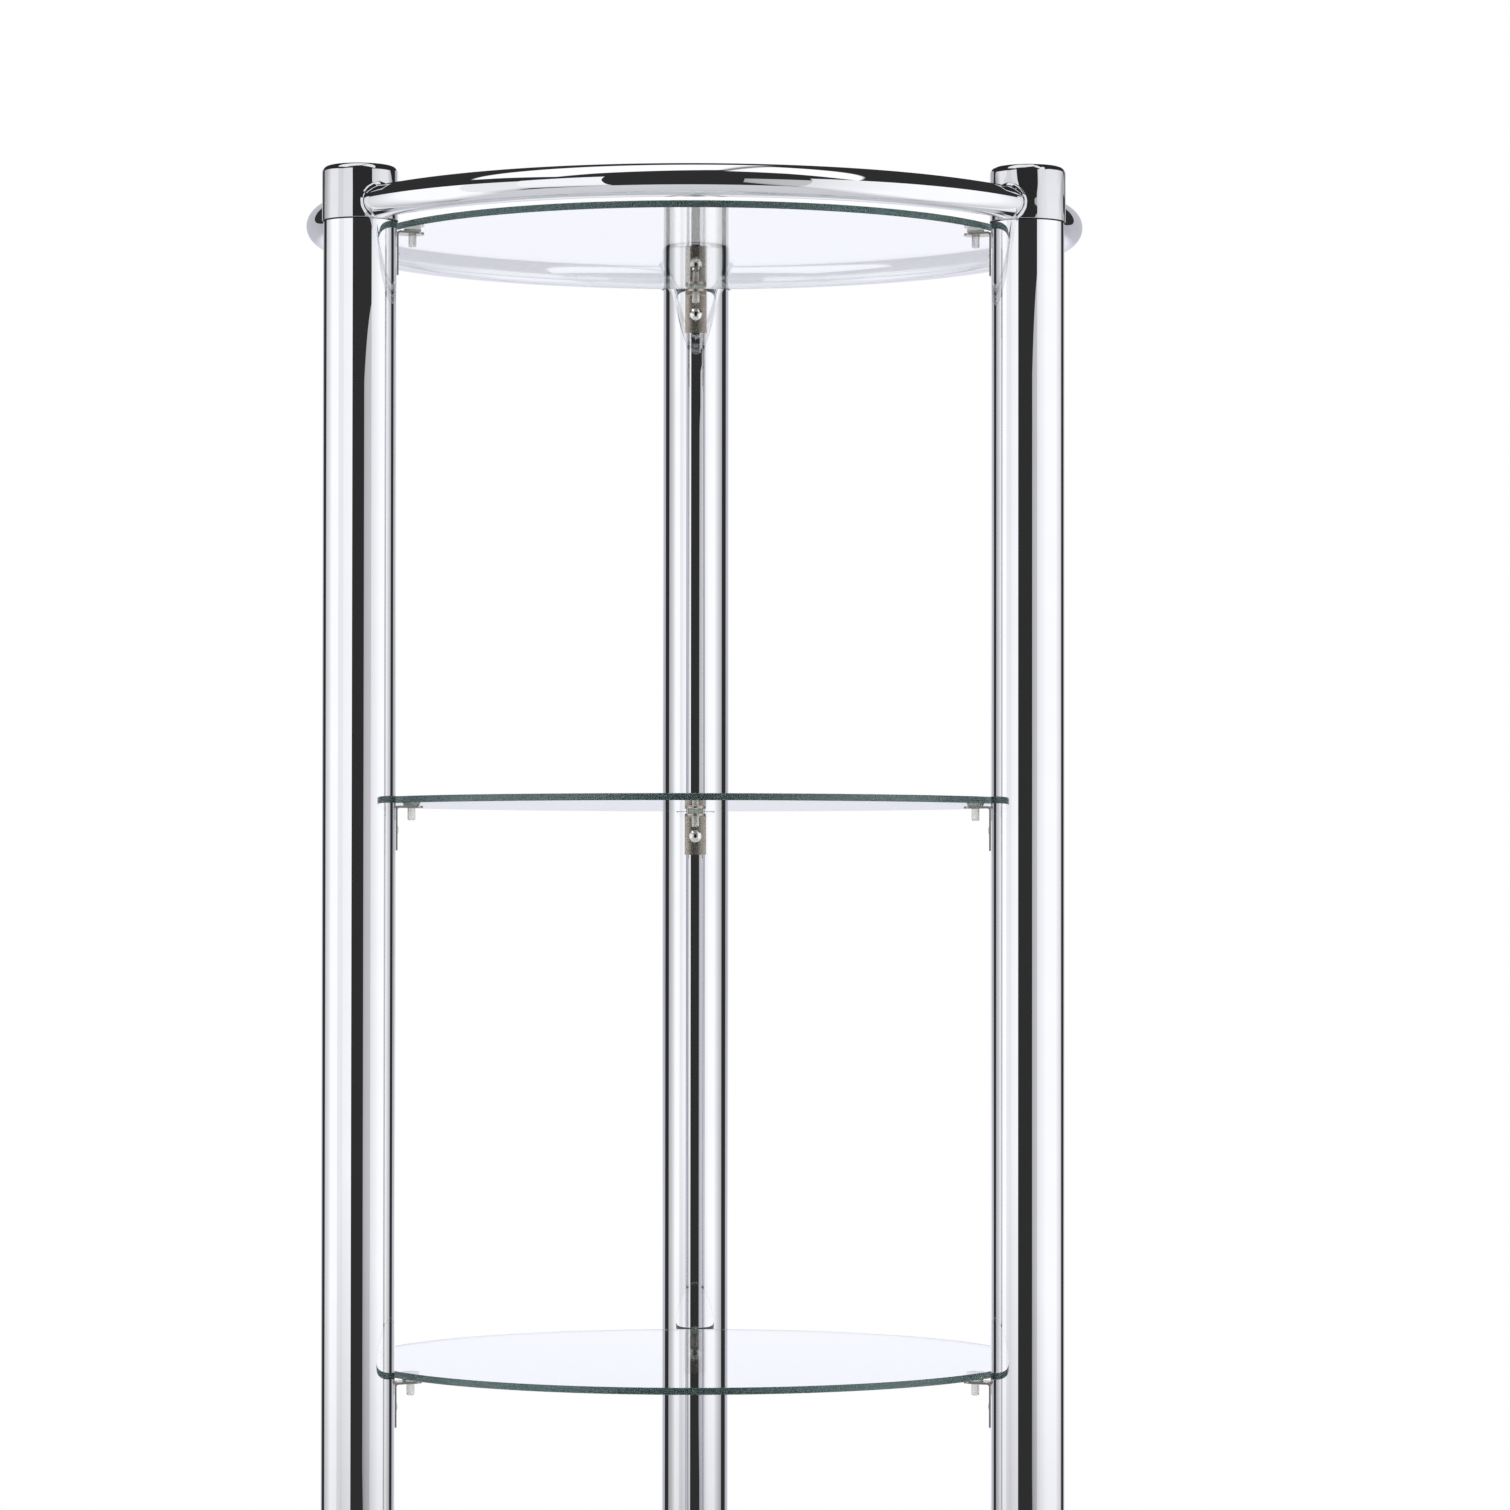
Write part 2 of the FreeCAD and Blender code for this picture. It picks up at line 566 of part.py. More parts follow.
def make_frame():
    """Posts, hub caps, end plugs and ring arcs of the upper and lower frames."""
    for corner, angle in CORNERS.items():
        make_post(corner, angle)
        top_hub = make_hub(corner + "_top_hub", "0")
        place(top_hub, angle, POST_AXIS, "Derived.top_rim")
        bottom_hub = make_hub(corner + "_bottom_hub", "Derived.stud_hole")
        place(bottom_hub, angle, POST_AXIS, "Derived.bottom_rim", UPSIDE_DOWN)
        top_plug = make_plug(corner + "_top_plug", "0", "0")
        place(top_plug, angle, POST_AXIS, "Derived.post_top - Sizes.plug_depth")
        foot_socket = make_plug(corner + "_foot_socket", "Derived.foot_nut_radius", "Derived.foot_nut_flange")
        place(foot_socket, angle, POST_AXIS, "Derived.post_base + Sizes.plug_depth", UPSIDE_DOWN)
    for side, (start, end) in ARCS.items():
        make_ring_arc(side + "_top_ring_arc", start, end, "Derived.top_ring")
        make_ring_arc(side + "_bottom_ring_arc", start, end, "Derived.bottom_ring")


def make_shelves():
    """Glass shelves with their brackets and fastenings."""
    for shelf in SHELVES:
        make_glass(shelf)
        for corner, angle in CORNERS.items():
            make_bracket(shelf, corner, angle)
        make_shelf_hardware(shelf)


def make_feet():
    """Levelling feet with their nuts."""
    nuts = []
    for corner, angle in CORNERS.items():
        make_foot_pad(corner, angle)
        make_foot_stud(corner, angle)
        nuts.append(make_foot_nut(corner, angle))
    grouped("foot_nuts", nuts)


def write_parts():
    """Check every object and sub-part, then write one file for each sub-part."""
    for item in doc.Objects:
        if "Invalid" in item.State or "Error" in item.State:
            raise RuntimeError(f"{item.Label} failed: {item.State}")
    for item in subparts:
        if item.Shape.isNull() or not item.Shape.isValid():
            raise RuntimeError(f"{item.Label} has no valid shape")
    os.makedirs("parts", exist_ok=True)
    for item in subparts:
        item.Shape.exportStep(f"parts/{item.Label}.step")


derived_sheet = fill_sheets()
make_frame()
make_shelves()
make_feet()
doc.recompute()
write_parts()
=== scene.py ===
"""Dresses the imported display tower: chrome tubes, glass shelves, nickel brackets, and a plain studio.

Metres, +Z up. The origin is on the floor, on the tower's axis, and the front faces -Y.
"""

import json
import math

import bmesh
import bpy
from mathutils import Matrix, Vector

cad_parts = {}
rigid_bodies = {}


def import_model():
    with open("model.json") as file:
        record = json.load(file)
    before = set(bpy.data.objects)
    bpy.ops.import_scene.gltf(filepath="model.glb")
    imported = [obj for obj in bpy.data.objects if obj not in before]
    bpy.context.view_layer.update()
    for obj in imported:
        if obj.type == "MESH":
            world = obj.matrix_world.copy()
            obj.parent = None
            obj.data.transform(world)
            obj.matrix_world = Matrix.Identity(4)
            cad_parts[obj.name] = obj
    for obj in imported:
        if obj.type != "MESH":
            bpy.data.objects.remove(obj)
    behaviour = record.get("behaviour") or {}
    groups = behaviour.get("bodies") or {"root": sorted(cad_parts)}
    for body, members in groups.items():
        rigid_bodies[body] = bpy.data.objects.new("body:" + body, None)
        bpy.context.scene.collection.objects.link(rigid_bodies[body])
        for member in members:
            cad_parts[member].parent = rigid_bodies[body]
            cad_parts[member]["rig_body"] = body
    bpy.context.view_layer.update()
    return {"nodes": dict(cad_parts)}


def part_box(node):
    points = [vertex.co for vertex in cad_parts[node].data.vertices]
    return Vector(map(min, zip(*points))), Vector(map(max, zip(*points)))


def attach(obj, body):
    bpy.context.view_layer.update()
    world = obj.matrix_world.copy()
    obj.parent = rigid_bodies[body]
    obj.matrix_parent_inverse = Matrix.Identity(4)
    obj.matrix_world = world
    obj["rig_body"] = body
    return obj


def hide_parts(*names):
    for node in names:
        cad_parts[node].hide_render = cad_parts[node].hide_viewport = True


for left_over in list(bpy.data.objects):
    bpy.data.objects.remove(left_over)
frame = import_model()
nodes = frame["nodes"]


def half_width(item):
    """Return half of a node's extent along X."""
    low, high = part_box(item)
    return (high.x - low.x) / 2


def axis_of(item):
    """Return the plan centre of a node."""
    low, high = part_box(item)
    return ((low.x + high.x) / 2, (low.y + high.y) / 2)


# Parts of node names
CORNERS = ("front_left", "front_right", "rear")
LEVELS = ("top", "bottom")
ARC_ENDS = (("front_left", "front_right"), ("front_right", "rear"), ("rear", "front_left"))
SHELVES = ("shelf_1", "shelf_2", "shelf_3", "shelf_4")

# Sizes that the frame gives
GLASS_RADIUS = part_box("shelf_1_glass")[1].x
POST_RADIUS = half_width("rear_post")
BRACKET_HALF_WIDTH = half_width("shelf_1_rear_bracket")

# Camera, fitted to the photograph's 1510 by 1510 frame
SENSOR = 36.0
LENS = 123.92
CAMERA_PLACE = (0.0142, -3.7225, 0.8224)
CAMERA_PITCH = 0.0138
CAMERA_YAW = 0.0079
CAMERA_ROLL = -0.0009
CAMERA_SHIFT = 0.045

# Floor disc, which fades into the white background. Reflections show it dark beyond its lit part
FLOOR_RADIUS = 2.9
FLOOR_FADE = 1.7
FLOOR_LIT = (1.75, 1.95)
FLOOR_SEGMENTS = 96
FLOOR_COLOUR = (0.70, 0.70, 0.71, 1)

# Even light from all around, and the lamp that gives the shadow
WHITE = (1, 1, 1, 1)
EVEN_LIGHT = 0.85
EVEN_LIGHT_COLOUR = (0.97, 0.98, 1.0, 1)
LAMP_SIZE = 2.4
LAMP_POWER = 26.0
LAMP_PLACE = (-0.5, -0.9, 3.4)
LAMP_TILT = (math.radians(-15), math.radians(-8), 0)
LIGHT_BOUNCES = 40

# Glowing cards of the studio, which only reflections show: the two ends in plan, the heights there, the tint,
# and the brightness along and up
NEUTRAL = (0.985, 0.985, 1.0, 1)
LAVENDER = (0.915, 0.92, 1.0, 1)
FADE_TO_FLOOR = [(0.0, 0.62), (0.28, 1.0)]
CARDS = {
    "right_panel": dict(
        begin=(0.876, -1.44), end=(0.85, 0.45), tops=(1.72, 1.50), tint=NEUTRAL,
        along=[(0.0, 0.88), (0.34, 1.05), (0.48, 1.15), (0.72, 1.15),
               (0.77, 1.0), (0.83, 0.84), (0.89, 0.70), (1.0, 0.50)],
        up=FADE_TO_FLOOR),
    "right_front_card": dict(
        begin=(0.96, -3.89), end=(0.876, -1.44), tops=(1.56, 1.42), tint=NEUTRAL,
        along=[(0.0, 0.48), (1.0, 0.62)],
        up=FADE_TO_FLOOR),
    "left_front_card": dict(
        begin=(-0.775, -1.70), end=(-1.84, -1.58), tops=(1.93, 1.93), tint=NEUTRAL,
        along=[(0.0, 1.08), (1.0, 1.05)],
        up=FADE_TO_FLOOR),
    "left_wing": dict(
        begin=(-1.84, -1.58), end=(-1.33, -0.62), tops=(1.85, 1.70), tint=NEUTRAL,
        along=[(0.0, 0.95), (1.0, 0.96)],
        up=FADE_TO_FLOOR),
    "left_panel": dict(
        begin=(-1.33, -0.62), end=(-0.92, 0.50), tops=(1.70, 1.52), tint=NEUTRAL,
        along=[(0.0, 1.15), (0.48, 1.15), (0.56, 1.0), (0.66, 0.84), (0.76, 0.68), (1.0, 0.48)],
        up=FADE_TO_FLOOR),
    "backdrop": dict(
        begin=(-0.85, 0.95), end=(0.85, 0.95), tops=(1.68, 1.68), tint=LAVENDER,
        along=[(0.0, 0.56), (0.24, 0.60), (0.33, 1.02), (0.67, 1.02), (0.76, 0.60), (1.0, 0.56)],
        up=[(0.0, 0.9), (0.3, 1.08), (0.44, 0.86), (0.57, 0.86), (0.67, 1.0)]),
}
# Two soft boxes overhead, which only reflections show. Each edge (a, b, c) keeps a * across + b * along + c
# above zero, in tangents from straight above
SOFT_BOXES = {
    "left": ((1, 0, 1.15), (-1, 0, 0.11), (0.65, -1, 0.57), (-0.6, 1, 0.52)),
    "right": ((1, 0, -0.15), (-1.05, -1, 0.45), (0.6, 1, 0.56)),
}
SOFT_BOX_BLUR = 0.03
SOFT_BOX_GLOW = 1.15
# Least rise of a direction, which keeps its tangents finite
LOWEST_RISE = 0.02
# Brightness of the unlit studio
DARK = 0.032

# Grain of the finishes, with scales per metre. Clouds are coarser than the grain by CLOUD_SIZE
NOISE_SPAN = (0.3, 0.7)
CLOUD_SIZE = 25
METAL_GRAIN_DEPTH = 0.0001
PLASTIC_BUMP = 0.25
PLASTIC_GRAIN_DEPTH = 0.0002
SOFT_PLASTIC_CLOUDS = 500.0
SOFT_PLASTIC_INDEX = 1.47

# Glass, whose ground rim begins within a narrow band inside its edge
GLASS_TINT = (0.02, 0.27, 0.254, 1)
GLASS_DENSITY = 6.2
GLASS_INDEX = 1.52
GLASS_SHADE = (0.9, 0.96, 0.94, 1)
GLASS_SMEARS = 40.0
GLASS_SMEAR_SPAN = (0.4, 0.8)
GLASS_SMEAR_ROUGHNESS = 0.004
RIM_BAND = (0.0006, 0.0002)
RIM_GRAIN = 1500.0
RIM_ROUGHNESS = (0.25, 0.29)

# Hub caps, whose polish is more uneven towards the right
HUB_CLEARANCE = 0.0001
HUB_EDGE_RADIUS = 0.0045
HUB_LIP_RADIUS = 0.00035
HUB_WAVE = 0.0001
HUB_WAVES = 100.0
HUB_WAVE_STRETCH = (1, 1, 0.3)
HUB_WAVE_SPAN = (-0.1, 0.2)
HUB_WAVE_GROWTH = (1.0, 14.0)
SEAM_HEIGHT = 0.0008
SEAM_DEPTH = 0.0006
STUD_HOLE_RADIUS = 0.0045

# Weld beads
WELD_RADIUS = 0.0028
WELD_RIPPLES = 17
WELD_RIPPLE = 0.00012
WELD_MARGIN = 0.00015
WELD_SINK = 0.0003

# Brackets, whose cut sides get a painted shade that begins within a narrow band inside their edges, and their
# screws
BRACKET_THICKNESS = 0.0015
CUT_SIDE_SHADE_BAND = (0.0002, 0.0001)
# Colour of the painted shade on the brackets' cut sides
CUT_SIDE_PAINTED_SHADE = (0.19, 0.185, 0.178, 1)
SCREW_LENGTH = 0.012
SCREW_RADIUS = 0.0025
SCREW_HEAD_RADIUS = 0.00475
SCREW_HEAD_HEIGHT = 0.003
SCREW_HEAD_RIM = 0.0009
RECESS_REACH = 0.0023
RECESS_HALF_WIDTH = 0.0005
RECESS_DEPTH = 0.0017
RECESS_TAPER = 0.55

# Feet. A small gap keeps the turning swivel disc off the pad's floor
PAD_RIM = 0.003
PAD_CROWN_RADIUS = 0.011
PAD_FLOOR = 0.004
PAD_FLOOR_GAP = 0.00005
PAD_LIP = 0.0012
PAD_EDGE = 0.0009
SWIVEL_CLEARANCE = 0.0003
SWIVEL_RADIUS = 0.006
SWIVEL_HEIGHT = 0.0035
STUD_RADIUS = 0.004
COLLAR_BASE = 0.0053
COLLAR_HEIGHT = 0.005
COLLAR_ACROSS_FLATS = 0.013
COLLAR_FACE = 0.95
COLLAR_CHAMFER = math.radians(30)
COLLAR_ROWS = 20
THREAD_PITCH = 0.00125
THREAD_DEPTH = 0.0007
THREAD_ROWS = 8

# Mesh steps
LATHE_STEPS = 96
LATHE_ANGLES = [2 * math.pi * step / LATHE_STEPS for step in range(LATHE_STEPS)]
ROUND_STEPS = 10
SOFT_EDGE_STEPS = 5
SHARP_ANGLE = math.radians(40)
SAME_POINT = 1e-6


def node(tree, kind, inputs=None, **settings):
    """Add a shader node, set its properties, and set or link its inputs."""
    made = tree.nodes.new("ShaderNode" + kind)
    for name, value in settings.items():
        setattr(made, name, value)
    for name, value in (inputs or {}).items():
        if isinstance(value, bpy.types.NodeSocket):
            tree.links.new(value, made.inputs[name])
        else:
            made.inputs[name].default_value = value
    return made


def math_node(tree, operation, first, second=0.0):
    """Add a math node and return its result."""
    return node(tree, "Math", {0: first, 1: second}, operation=operation).outputs[0]


def ramp(tree, factor, stops):
    """Add a grey colour ramp from (place, level) stops and return its colour."""
    made = node(tree, "ValToRGB", {"Fac": factor})
    elements = made.color_ramp.elements
    while len(elements) < len(stops):
        elements.new(0.5)
    for element, (place, level) in zip(elements, stops):
        element.position = place
        element.color = (level, level, level, 1)
    return made.outputs["Color"]


def between(tree, value, low, high, out_low, out_high):
    """Map a value smoothly from one span to another."""
    made = node(tree, "MapRange", {
        "Value": value, "From Min": low, "From Max": high, "To Min": out_low, "To Max": out_high,
    }, interpolation_type="SMOOTHSTEP")
    return made.outputs["Result"]


def own_axes(tree):
    """Return the X, Y and Z of a point in its piece's own coordinates."""
    return node(tree, "SeparateXYZ", {"Vector": node(tree, "TexCoord").outputs["Object"]}).outputs


def noise(tree, scale, detail=2.0, stretch=(1, 1, 1)):
    """Add a noise in the piece's own coordinates, with a scale per metre, and return its value."""
    place = node(tree, "TexCoord").outputs["Object"]
    mapping = node(tree, "Mapping", {"Vector": place, "Scale": stretch})
    made = node(tree, "TexNoise", {"Vector": mapping.outputs["Vector"], "Scale": scale, "Detail": detail})
    return made.outputs["Fac"]


def two_tone(tree, factor, first, second):
    """Mix two colours by a factor and return the colour."""
    return node(tree, "Mix", {"Factor": factor, 6: first, 7: second}, data_type="RGBA").outputs[2]


def dented(tree, height, strength, depth):
    """Add a bump and return its normal."""
    return node(tree, "Bump", {"Height": height, "Strength": strength, "Distance": depth}).outputs["Normal"]


def mix_shaders(tree, factor, first, second):
    """Mix two shaders by a factor and return the shader."""
    return node(tree, "MixShader", {0: factor, 1: first, 2: second}).outputs["Shader"]


def shining(tree, kind, colour, strength):
    """Add an Emission or a Background and return its shader."""
    return node(tree, kind, {"Color": colour, "Strength": strength}).outputs[kind]


def light_path(tree):
    """Add a light path, and return it and whether the ray came through glass with no mirror on its way."""
    path = node(tree, "LightPath")
    unmirrored = math_node(tree, "LESS_THAN", path.outputs["Glossy Depth"], 0.5)
    return path, math_node(tree, "MULTIPLY", path.outputs["Is Transmission Ray"], unmirrored)


def fresh_material(name):
    """Make a material with an empty tree, and return it with its tree and output node."""
    material = bpy.data.materials.new(name)
    material.use_nodes = True
    tree = material.node_tree
    tree.nodes.clear()
    return material, tree, node(tree, "OutputMaterial")


def cut_side_shade_mask(tree):
    """Return 1 on the cut sides of the bracket strips, half a strip beside the posts' radial planes, where
    shade is painted.
    """
    x, y, _ = own_axes(tree)
    nearest = 1.0
    for corner in CORNERS:
        radial = Vector(axis_of(corner + "_post")).normalized()
        from_x = math_node(tree, "MULTIPLY", x, -radial.y)
        from_y = math_node(tree, "MULTIPLY", y, radial.x)
        aside = math_node(tree, "ABSOLUTE", math_node(tree, "ADD", from_x, from_y))
        nearest = math_node(tree, "MINIMUM", aside, nearest)
    begin, end = CUT_SIDE_SHADE_BAND
    return between(tree, nearest, BRACKET_HALF_WIDTH - begin, BRACKET_HALF_WIDTH - end, 0.0, 1.0)


def metal(name, light, dark, roughness, grain, bump=0.0, stretch=(1, 1, 1), wave=0.0, strip=False):
    """Metal with a fine grain in its colour, roughness and surface.

    Hand-polished metal has slow waves, and a bracket strip gets a painted shade on its cut sides.
    """
    material, tree, output = fresh_material(name)
    fine = noise(tree, grain, detail=3.0, stretch=stretch)
    cloudy = noise(tree, grain / CLOUD_SIZE)
    colour = two_tone(tree, cloudy, dark, light)
    if strip:
        # Painted shade: the cut sides are darkened to stand in for the shade on the edge-on strips
        colour = two_tone(tree, cut_side_shade_mask(tree), colour, CUT_SIDE_PAINTED_SHADE)
    shader = node(tree, "BsdfPrincipled", {
        "Base Color": colour,
        "Metallic": 1.0,
        "Roughness": between(tree, fine, *NOISE_SPAN, *roughness),
    })
    if bump:
        tree.links.new(dented(tree, fine, bump, METAL_GRAIN_DEPTH), shader.inputs["Normal"])
    if wave:
        growth = between(tree, own_axes(tree)[0], *HUB_WAVE_SPAN, *HUB_WAVE_GROWTH)
        waves = noise(tree, HUB_WAVES, detail=1.0, stretch=HUB_WAVE_STRETCH)
        swell = math_node(tree, "MULTIPLY", waves, growth)
        tree.links.new(dented(tree, swell, 1.0, wave), shader.inputs["Normal"])
    tree.links.new(shader.outputs["BSDF"], output.inputs["Surface"])
    return material


def float_glass():
    """Green float glass with clear faces and a ground rim, which lets light through to the floor."""
    material, tree, output = fresh_material("float_glass")
    x, y, _ = own_axes(tree)
    across = math_node(tree, "POWER", x, 2.0)
    along = math_node(tree, "POWER", y, 2.0)
    away = math_node(tree, "SQRT", math_node(tree, "ADD", across, along))
    begin, end = RIM_BAND
    rim = between(tree, away, GLASS_RADIUS - begin, GLASS_RADIUS - end, 0.0, 1.0)
    grind = between(tree, noise(tree, RIM_GRAIN), *NOISE_SPAN, *RIM_ROUGHNESS)
    smear = between(tree, noise(tree, GLASS_SMEARS), *GLASS_SMEAR_SPAN, 0.0, GLASS_SMEAR_ROUGHNESS)
    shader = node(tree, "BsdfPrincipled", {
        "Base Color": WHITE,
        "Roughness": math_node(tree, "ADD", smear, math_node(tree, "MULTIPLY", rim, grind)),
        "IOR": GLASS_INDEX,
        "Transmission Weight": 1.0,
    })
    open_shade = node(tree, "BsdfTransparent", {"Color": GLASS_SHADE})
    in_shadow = node(tree, "LightPath").outputs["Is Shadow Ray"]
    surface = mix_shaders(tree, in_shadow, shader.outputs["BSDF"], open_shade.outputs["BSDF"])
    tree.links.new(surface, output.inputs["Surface"])
    body = node(tree, "VolumeAbsorption", {"Color": GLASS_TINT, "Density": GLASS_DENSITY})
    tree.links.new(body.outputs["Volume"], output.inputs["Volume"])
    return material


def soft_plastic(name, colour, clearness, roughness):
    """Clear soft plastic, a little milky."""
    material, tree, output = fresh_material(name)
    cloud = noise(tree, SOFT_PLASTIC_CLOUDS)
    shader = node(tree, "BsdfPrincipled", {
        "Base Color": two_tone(tree, cloud, colour, WHITE),
        "Roughness": between(tree, cloud, *NOISE_SPAN, *roughness),
        "IOR": SOFT_PLASTIC_INDEX,
        "Transmission Weight": clearness,
    })
    tree.links.new(shader.outputs["BSDF"], output.inputs["Surface"])
    return material


def plastic(name, light, dark, roughness, grain):
    """Moulded plastic with a fine eroded texture."""
    material, tree, output = fresh_material(name)
    fine = noise(tree, grain, detail=4.0)
    shader = node(tree, "BsdfPrincipled", {
        "Base Color": two_tone(tree, fine, dark, light),
        "Roughness": between(tree, fine, *NOISE_SPAN, *roughness),
        "Normal": dented(tree, fine, PLASTIC_BUMP, PLASTIC_GRAIN_DEPTH),
    })
    tree.links.new(shader.outputs["BSDF"], output.inputs["Surface"])
    return material


def make_finishes():
    """Make a finish for each material slot, and two more: for hub caps, and a dark finish of painted shade
    for joints and recesses, partly bare steel in the hub seams.
    """
    return {
        "chrome": metal(
            "chrome_plate", light=(0.88, 0.885, 0.91, 1), dark=(0.84, 0.845, 0.875, 1),
            roughness=(0.004, 0.014), grain=900.0),
        "hub_chrome": metal(
            "polished_hub", light=(0.74, 0.745, 0.77, 1), dark=(0.64, 0.645, 0.67, 1),
            roughness=(0.01, 0.03), grain=900.0, wave=HUB_WAVE),
        # Painted shade for the hub seams and screw recesses, partly bare steel in the seams
        "joint_and_recess_shade": metal(
            "bare_steel_and_painted_shade", light=(0.05, 0.05, 0.052, 1), dark=(0.025, 0.025, 0.027, 1),
            roughness=(0.4, 0.6), grain=2000.0),
        "shelf_glass": float_glass(),
        # Satin nickel, whose bracket strips get a painted shade on their cut sides
        "satin_nickel": metal(
            "satin_nickel", light=(0.57, 0.515, 0.45, 1), dark=(0.48, 0.435, 0.38, 1),
            roughness=(0.2, 0.32), grain=4000.0, bump=0.25, stretch=(1, 1, 0.15), strip=True),
        "bright_screw": metal(
            "bright_nickel", light=(0.86, 0.85, 0.82, 1), dark=(0.78, 0.77, 0.74, 1),
            roughness=(0.06, 0.14), grain=3000.0, bump=0.1),
        "clear_plastic": soft_plastic(
            "clear_bumper", colour=(0.84, 0.835, 0.81, 1), clearness=0.7, roughness=(0.05, 0.12)),
        "black_plastic": plastic(
            "black_plastic", light=(0.035, 0.035, 0.037, 1), dark=(0.018, 0.018, 0.02, 1),
            roughness=(0.35, 0.55), grain=2500.0),
        "zinc_steel": metal(
            "zinc_plate", light=(0.72, 0.74, 0.76, 1), dark=(0.58, 0.6, 0.63, 1),
            roughness=(0.22, 0.4), grain=2000.0, bump=0.15),
    }


def dress_nodes():
    """Give every node the finish of its material slot."""
    for item in nodes.values():
        materials = item.data.materials
        slot = materials[0].name.split(".")[0]
        materials[0] = finishes[slot]


def mesh_from(build, name):
    """Turn a build's faces outward, and return it as a mesh."""
    bmesh.ops.recalc_face_normals(build, faces=build.faces)
    mesh = bpy.data.meshes.new(name)
    build.to_mesh(mesh)
    build.free()
    return mesh


def add_piece(mesh, finish_names, body, replaced):
    """Add a mesh as a piece that rides on a body, with its finishes and the nodes it stands for."""
    for finish in finish_names:
        mesh.materials.append(finishes[finish])
    mesh.shade_smooth()
    mesh.set_sharp_from_angle(angle=SHARP_ANGLE)
    piece = bpy.data.objects.new(mesh.name, mesh)
    bpy.context.scene.collection.objects.link(piece)
    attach(piece, body)
    if replaced:
        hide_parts(*replaced)


def quarter_round(radius, height, reach, begin, end):
    """Return the points of an arc about (radius, height), between two angles in degrees."""
    points = []
    for step in range(ROUND_STEPS + 1):
        angle = math.radians(begin + (end - begin) * step / ROUND_STEPS)
        points.append((radius + reach * math.cos(angle), height + reach * math.sin(angle)))
    return points


def softened(points, reach):
    """Return a profile with each corner between its ends rounded off, from this far on either side."""
    out = [points[0]]
    for before, corner, after in zip(points, points[1:], points[2:]):
        corner = Vector(corner)
        begin = corner + (Vector(before) - corner).normalized() * reach
        end = corner + (Vector(after) - corner).normalized() * reach
        for step in range(SOFT_EDGE_STEPS + 1):
            share = step / SOFT_EDGE_STEPS
            out.append(tuple(begin.lerp(corner, share).lerp(corner.lerp(end, share), share)))
    return out + [points[-1]]


def turn_profile(build, profile, place, shaded_strips=()):
    """Turn a profile of (radius, height) points about an upright axis, and give the listed strips the second
    finish, which in the hub caps is a painted shade.

    A radius may also be a list, with one reach for each step of the turn.
    """
    rings = []
    for radius, height in profile:
        if radius == 0:
            rings.append([build.verts.new((*place, height))] * LATHE_STEPS)
            continue
        reaches = radius if isinstance(radius, list) else [radius] * LATHE_STEPS
        ring = []
        for reach, angle in zip(reaches, LATHE_ANGLES):
            across = place[0] + reach * math.cos(angle)
            along = place[1] + reach * math.sin(angle)
            ring.append(build.verts.new((across, along, height)))
        rings.append(ring)
    for strip, (low, high) in enumerate(zip(rings, rings[1:])):
        for step in range(LATHE_STEPS):
            following = (step + 1) % LATHE_STEPS
            corners = dict.fromkeys((low[step], low[following], high[following], high[step]))
            if len(corners) > 2:
                face = build.faces.new(list(corners))
                face.material_index = 1 if strip in shaded_strips else 0


def make_hub(corner, level):
    """Hub cap with a rounded crown, a rolled lip and a joint line above its rim, dark with painted shade that
    is partly bare steel.
    """
    hub = f"{corner}_{level}_hub"
    low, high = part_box(hub)
    radius = half_width(hub)
    height = high.z - low.z
    seam_radius = radius - SEAM_DEPTH
    bore = POST_RADIUS + HUB_CLEARANCE
    wall = radius - bore
    inside_edge = HUB_EDGE_RADIUS - wall
    hole = 0 if level == "top" else STUD_HOLE_RADIUS
    profile = [(bore, 0), (seam_radius, 0), (seam_radius, SEAM_HEIGHT)]
    profile += quarter_round(radius - HUB_LIP_RADIUS, SEAM_HEIGHT + HUB_LIP_RADIUS, HUB_LIP_RADIUS, -90, 0)
    profile += quarter_round(radius - HUB_EDGE_RADIUS, height - HUB_EDGE_RADIUS, HUB_EDGE_RADIUS, 0, 90)
    profile += [(hole, height), (hole, height - wall)]
    profile += quarter_round(bore - inside_edge, height - wall - inside_edge, inside_edge, 90, 0)
    profile.append((bore, 0))
    base, sense = (low.z, 1) if level == "top" else (high.z, -1)
    build = bmesh.new()
    # The seam strips take the dark finish: painted shade in the gap, partly bare steel
    turn_profile(build, [(across, base + sense * up) for across, up in profile], axis_of(hub), shaded_strips=(0, 1, 2))
    bmesh.ops.remove_doubles(build, verts=build.verts, dist=SAME_POINT)
    mesh = mesh_from(build, f"{corner}_{level}_hub_cap")
    add_piece(mesh, ("hub_chrome", "joint_and_recess_shade"), "frame", [hub])


